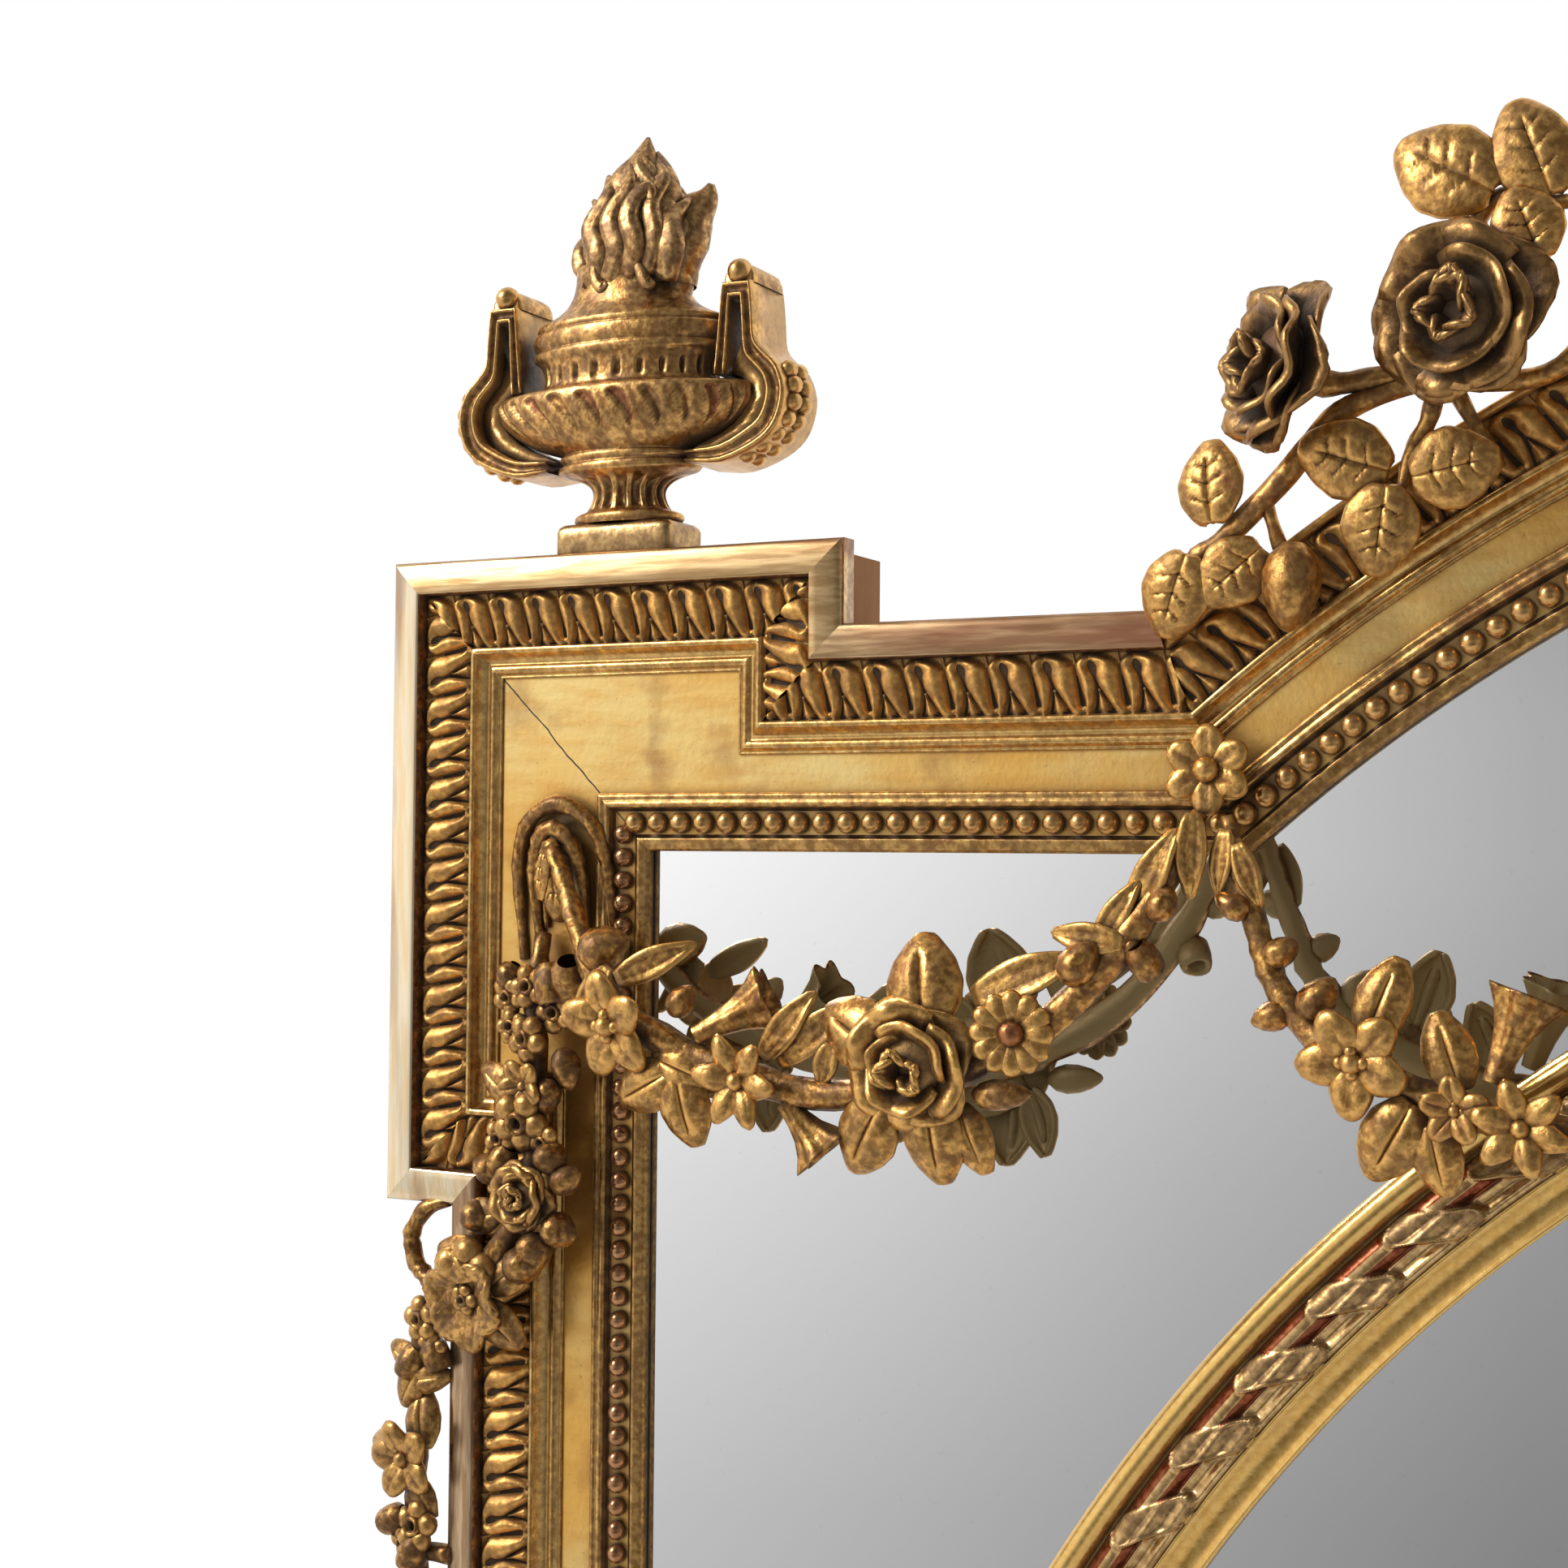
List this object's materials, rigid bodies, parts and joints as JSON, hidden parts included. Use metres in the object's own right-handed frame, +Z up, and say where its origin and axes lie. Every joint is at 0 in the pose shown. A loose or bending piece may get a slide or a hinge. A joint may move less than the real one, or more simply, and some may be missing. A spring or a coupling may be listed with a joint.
{
  "type": "wall mirror",
  "caption": "Giltwood wall mirror with an eared, arched frame, oval inner frame in mirror glass, flaming urns, rose crest and flower garlands; swinging hanging rings behind.",
  "frame": {"origin": "on the wall plane, on the mirror's middle line, at its lower edge", "axes": "+X to the viewer's right, +Y into the wall, +Z up; the mirror faces -Y"},
  "size_m": [1.404, 0.072, 1.723],
  "materials": {
    "carcass_pine": "satin gilded faces over pine",
    "back_pine": "bare aged pine",
    "mirror_glass": "silvered glass",
    "hanger_iron": "dark wrought iron",
    "screw_steel": "dull steel",
    "gilt_sight": "water gilded wood, pearls darkened",
    "gilt_oval": "water gilded wood, rubbed to the red ground",
    "gilt_rim": "water gilded wood, burnished rim",
    "gilt_urn": "water gilded carved wood, red ground in the hollows",
    "gilt_flowers": "water gilded carved wood"
  },
  "bodies": {
    "mirror": {"arch_board": "carcass_pine", "back_board_centre": "back_pine", "back_board_left": "back_pine", "back_board_right": "back_pine", "bottom_board": "carcass_pine", "centre_plate": "mirror_glass", "crest_bouquet": "gilt_flowers", "crest_spray_left": "gilt_flowers", "crest_spray_right": "gilt_flowers", "ear_board_left": "carcass_pine", "ear_board_right": "carcass_pine", "ear_hood_left": "gilt_flowers", "ear_hood_right": "gilt_flowers", "flower_drop_left": "gilt_flowers", "flower_drop_right": "gilt_flowers", "glazing_blocks": "back_pine", "hanger_plate_left": "hanger_iron", "hanger_plate_right": "hanger_iron", "hanger_screws": "screw_steel", "inner_garland_left": "gilt_flowers", "inner_garland_right": "gilt_flowers", "margin_plate_lower_left": "mirror_glass", "margin_plate_lower_right": "mirror_glass", "margin_plate_upper_left": "mirror_glass", "margin_plate_upper_right": "mirror_glass", "outer_garland_left": "gilt_flowers", "outer_garland_right": "gilt_flowers", "oval_frame_left": "gilt_oval", "oval_frame_right": "gilt_oval", "oval_screws": "screw_steel", "rim_moulding_arch": "gilt_rim", "rim_moulding_bottom": "gilt_rim", "rim_moulding_ear_left": "gilt_rim", "rim_moulding_ear_right": "gilt_rim", "rim_moulding_left": "gilt_rim", "rim_moulding_right": "gilt_rim", "rim_moulding_top_left": "gilt_rim", "rim_moulding_top_right": "gilt_rim", "rosette_left": "gilt_flowers", "rosette_right": "gilt_flowers", "shoulder_board_left": "carcass_pine", "shoulder_board_right": "carcass_pine", "sight_moulding_arch": "gilt_sight", "sight_moulding_bottom": "gilt_sight", "sight_moulding_left": "gilt_sight", "sight_moulding_right": "gilt_sight", "sight_moulding_top_left": "gilt_sight", "sight_moulding_top_right": "gilt_sight", "stile_board_left": "carcass_pine", "stile_board_right": "carcass_pine", "urn_body_left": "gilt_urn", "urn_body_right": "gilt_urn", "urn_flame_left": "gilt_urn", "urn_flame_right": "gilt_urn", "urn_handles_left": "gilt_urn", "urn_handles_right": "gilt_urn", "urn_plinth_left": "gilt_urn", "urn_plinth_right": "gilt_urn"},
    "ring_left": {"hanging_ring_left": "hanger_iron"},
    "ring_right": {"hanging_ring_right": "hanger_iron"}
  },
  "joints": [
    {"name": "ring_left_swing", "type": "hinge", "parent": "mirror", "child": "ring_left", "pos_m": [-0.6394, -0.0042, 1.18], "axis": [1, 0, 0], "range_deg": [0, 180]},
    {"name": "ring_right_swing", "type": "hinge", "parent": "mirror", "child": "ring_right", "pos_m": [0.6394, -0.0042, 1.18], "axis": [1, 0, 0], "range_deg": [0, 180]}
  ]
}
